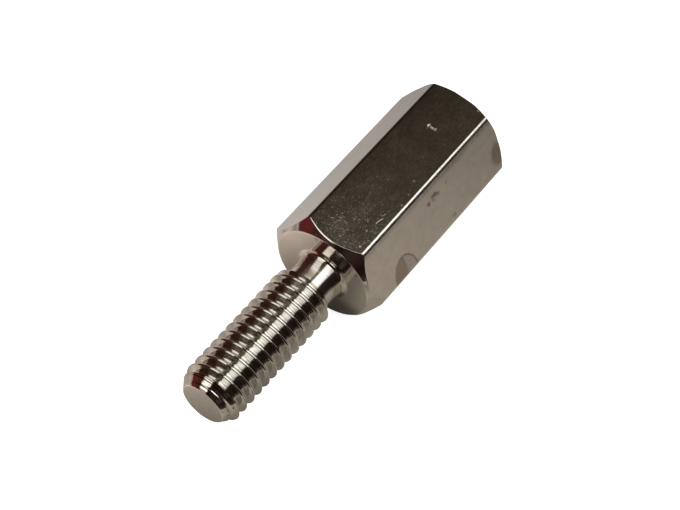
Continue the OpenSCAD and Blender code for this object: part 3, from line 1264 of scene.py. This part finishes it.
def left_window(g, x, y):
    # its edge towards +X leans, and its edge towards -Y dips on the -X side
    edge = g.ramp(y, 53, 175, 102, 110, "LINEAR")
    low = g.ramp(x, 35, 75, 45, 21)
    cover = g.mul(
        g.ramp(g.math("SUBTRACT", x, edge), -6, 4, 1, 0),
        g.ramp(g.math("SUBTRACT", y, low), -3, 6),
        g.ramp(g.sub(y, g.ramp(x, -210, -130, 65, 0)), 148, 196, 1, 0),
        g.ramp(g.sub(x, g.ramp(y, 40, 125, 18, 0)), -312, -300),
    )
    return cover, (1.0, 0.965, 0.915), g.ramp(x, -230, -120, 1.45 * LEFT_L, LEFT_L)


def right_window(g, x, y):
    fall = g.ramp(y, -185, -100, 0.50, 1.0, "LINEAR")
    cover = g.mul(
        g.ramp(y, -29, -15, 1, 0),
        g.ramp(y, -196, -176),
        g.ramp(x, -124, -110),
        g.ramp(x, 235, 260, 1, 0),
    )
    # a thinner part of the blind in the middle
    thin = g.mul(g.ramp(x, -40, -25), g.ramp(x, 42, 56, 1, 0), g.ramp(y, -176, -164), g.ramp(y, -102, -88, 1, 0))
    return cover, (1.0, 0.99, 0.975), g.mul(fall, g.sub(1.0, g.mul(thin, 0.62)), RIGHT_L)


LEFT_L, RIGHT_L = 1.25, 2.2
HC = 200.0
card("card_left", -320, 140, 15, 300, HC, left_window)
card("card_right", -130, 265, -200, -12, HC, right_window)


def dark_room():
    """The dim room round the bench, which only the metal reflects."""
    verts, faces = [], []
    nu, nv, rad = 48, 24, 900.0
    for i in range(nv + 1):
        for j in range(nu):
            a, b = 2 * math.pi * j / nu, math.pi * i / nv
            verts.append((rad * math.sin(b) * math.cos(a), rad * math.sin(b) * math.sin(a), rad * math.cos(b)))
    for i in range(nv):
        for j in range(nu):
            k = (j + 1) % nu
            faces.append((i * nu + j, (i + 1) * nu + j, (i + 1) * nu + k, i * nu + k))
    o, mat = stage_mesh("dark_room", verts, faces)
    nt = mat.node_tree
    nt.nodes.clear()
    g = Graph(nt)
    x, y, z = (g.mul(v, 1 / rad) for v in g.position())
    colour = g.mix(g.ramp(y, -0.2, 0.45), (0.024, 0.0145, 0.0125), (0.057, 0.026, 0.0165))
    red = g.mul(g.ramp(y, 0.60, 0.72), g.ramp(x, -0.42, -0.30, 1, 0), g.ramp(z, 0.20, 0.30, 1, 0))
    colour = g.mix(red, colour, (0.135, 0.024, 0.026))
    high = g.mix(g.ramp(x, 0.40, 0.62, 0, 1, "LINEAR"), (0.085, 0.074, 0.060), (0.047, 0.037, 0.026))
    colour = g.mix(g.mul(g.ramp(z, 0.55, 0.75), g.ramp(x, -0.45, -0.1)), colour, high)
    # it is paler between the windows and past the corner of the left one
    slope = g.math("DIVIDE", y, g.math("MAXIMUM", z, 0.05))
    lit = g.mul(g.ramp(z, 0.40, 0.55), g.ramp(x, 0.20, 0.36))
    colour = g.mix(g.mul(lit, g.ramp(slope, -0.25, -0.15), g.ramp(slope, 0.16, 0.23, 1, 0)), colour, (0.20, 0.185, 0.11))
    colour = g.mix(g.mul(lit, g.ramp(slope, 0.31, 0.42), g.ramp(slope, 1.2, 1.9, 1, 0)), colour, (0.145, 0.098, 0.070))
    # a soft pale wall behind the far end, and a dim one in front of the stud
    # in front of the stud it darkens towards the bench and towards the middle
    front = g.mix(g.ramp(z, 0.10, 0.46), (0.012, 0.0056, 0.0052), (0.045, 0.0235, 0.0235))
    front = g.scale(front, g.ramp(y, -0.26, -0.04, 1.0, 0.28))
    colour = g.mix(g.mul(g.ramp(x, -0.77, -0.70, 1, 0), g.ramp(y, 0.02, 0.12, 1, 0)), colour, front)
    dim = g.mul(g.ramp(x, -0.74, -0.68), g.ramp(x, -0.58, -0.50, 1, 0), g.ramp(y, -0.62, -0.55, 1, 0), g.ramp(z, 0.20, 0.30))
    colour = g.mix(dim, colour, (0.080, 0.075, 0.069))
    pale = g.scale(g.mix(0.0, (0.34, 0.33, 0.315), (1, 1, 1)), g.ramp(z, -0.05, 0.6, 0.55, 1.0))
    colour = g.mix(g.ramp(x, 0.60, 0.67), colour, pale)
    out, em = nt.nodes.new("ShaderNodeOutputMaterial"), nt.nodes.new("ShaderNodeEmission")
    g.put(em.inputs["Color"], colour)
    nt.links.new(em.outputs[0], out.inputs["Surface"])
    mat.cycles.emission_sampling = "NONE"
    o.visible_camera = o.visible_diffuse = o.visible_shadow = False


dark_room()


def bench_disc(name, radius, z):
    n = 96
    ring = [(radius * math.cos(2 * math.pi * j / n), radius * math.sin(2 * math.pi * j / n), z) for j in range(n)]
    o, mat = stage_mesh(name, ring, [list(range(n))])
    bsdf = mat.node_tree.nodes["Principled BSDF"]
    bsdf.inputs["Roughness"].default_value = 0.9
    bsdf.inputs["Specular IOR Level"].default_value = 0.0
    return o, mat, bsdf


floor, floor_mat, bsdf = bench_disc("floor", 3000.0, -FLAT - 0.003)
bsdf.inputs["Base Color"].default_value = (0.60, 0.60, 0.598, 1)
bsdf.inputs["Emission Color"].default_value = (1, 1, 1, 1)
bsdf.inputs["Emission Strength"].default_value = 0.78
floor_mat.cycles.emission_sampling = "NONE"
floor.visible_glossy = False
floor.visible_shadow = False

# What the metal reflects of the bench: pale and neutral on one side, warmer and darker on the other.
mirror_floor, mirror_mat, bsdf = bench_disc("floor_in_reflections", 800.0, -FLAT)
g = Graph(mirror_mat.node_tree)
x, y, _ = g.position()
plus = g.mix(g.ramp(x, 5, 30, 0, 1, "LINEAR"), (0.54, 0.51, 0.495), (0.33, 0.308, 0.288))
plus = g.mix(g.ramp(x, -3, 5), (0.66, 0.575, 0.51), plus)
minus = g.mix(g.ramp(y, -30, -8, 1, 0), (0.28, 0.255, 0.215), (0.36, 0.325, 0.285))
minus = g.scale(minus, g.ramp(x, 12, 45, 0.93, 0.66))
plus = g.scale(plus, g.sub(1.0, g.mul(0.30, g.ramp(y, 7, 14), g.ramp(x, -3, 4, 1, 0))))
minus = g.scale(minus, g.add(1.0, g.mul(g.ramp(y, -24, -16, -0.27, 0.0), g.ramp(x, -2, 10)), g.mul(g.ramp(y, -16, -6, -0.30, 0.0), g.ramp(x, -2, 8, 1, 0))))
# the contact shadow at the foot of the shoulder, and the paler bench in front of it
foot = g.mul(g.ramp(x, -2.3, -1.2), g.ramp(y, -5.0, -3.0))
minus = g.scale(minus, g.mul(g.sub(1.08, g.mul(foot, 0.66)), g.ramp(y, -3.4, -1.4, 1.30, 0.98)))
shade = g.mix(g.ramp(y, -3, 9), minus, plus)
shade = g.scale(shade, g.mul(g.ramp(x, -4.4, -2.2, 1.25, 1.0), g.ramp(x, -13, -4.5, 0.56, 1.0), g.ramp(x, -20.5, -16, 1.58, 1.0)))
shade = g.scale(shade, g.sub(1.0, g.mul(0.22, g.ramp(x, -20, -10, 1, 0), g.ramp(y, 17, 34))))
# past the pale sheet the bench is dark, and reddish on the +Y side
beyond = g.mix(g.mul(g.ramp(y, 34, 62), g.ramp(x, -20, 5, 1, 0)), (0.034, 0.022, 0.019), (0.115, 0.025, 0.024))
sheet = g.ramp(g.sub(x, g.ramp(y, 15, 90, -31, -44, "LINEAR")), -3, 3)
sheet = g.mul(sheet, g.ramp(y, 60, 95, 1, 0), g.ramp(y, -58, -44), g.ramp(x, 60, 90, 1, 0))
shade = g.mix(sheet, beyond, g.scale(shade, 1.03))
shade = g.mix(g.ramp(x, 92, 104), shade, (0.36, 0.35, 0.335))
g.put(bsdf.inputs["Base Color"], shade)
mirror_floor.visible_camera = mirror_floor.visible_diffuse = mirror_floor.visible_shadow = False

world = bpy.data.worlds.new("studio")
bpy.context.scene.world = world
world.use_nodes = True
bg = world.node_tree.nodes["Background"]
bg.inputs["Color"].default_value = (1, 1, 1, 1)
bg.inputs["Strength"].default_value = 1.0
world.cycles_visibility.glossy = False

# ---------------------------------------------------------------- camera, at the photograph's viewing angle
cam_data = bpy.data.cameras.new("camera")
cam_data.sensor_width = 36.0
cam_data.lens = 92.072
cam_data.clip_start, cam_data.clip_end = 0.005, 20.0
cam = bpy.data.objects.new("camera", cam_data)
bpy.context.scene.collection.objects.link(cam)
right = Vector((0.593764, -0.795485, 0.121026))
up = Vector((0.648465, 0.562125, 0.513332))
back = Vector((-0.476380, -0.226317, 0.849613))
m = Matrix.Identity(4)
for i in range(3):
    m[i][0], m[i][1], m[i][2] = right[i], up[i], back[i]
m.translation = Vector((-68.84769, -33.94537, 127.22732)) * MM
cam.matrix_world = m
bpy.context.scene.camera = cam

scene = bpy.context.scene
scene.view_settings.view_transform = "Standard"
scene.cycles.max_bounces = 12
scene.cycles.glossy_bounces = 10
scene.cycles.diffuse_bounces = 3
scene.cycles.caustics_reflective = False
scene.cycles.caustics_refractive = False
scene.cycles.blur_glossy = 0.0
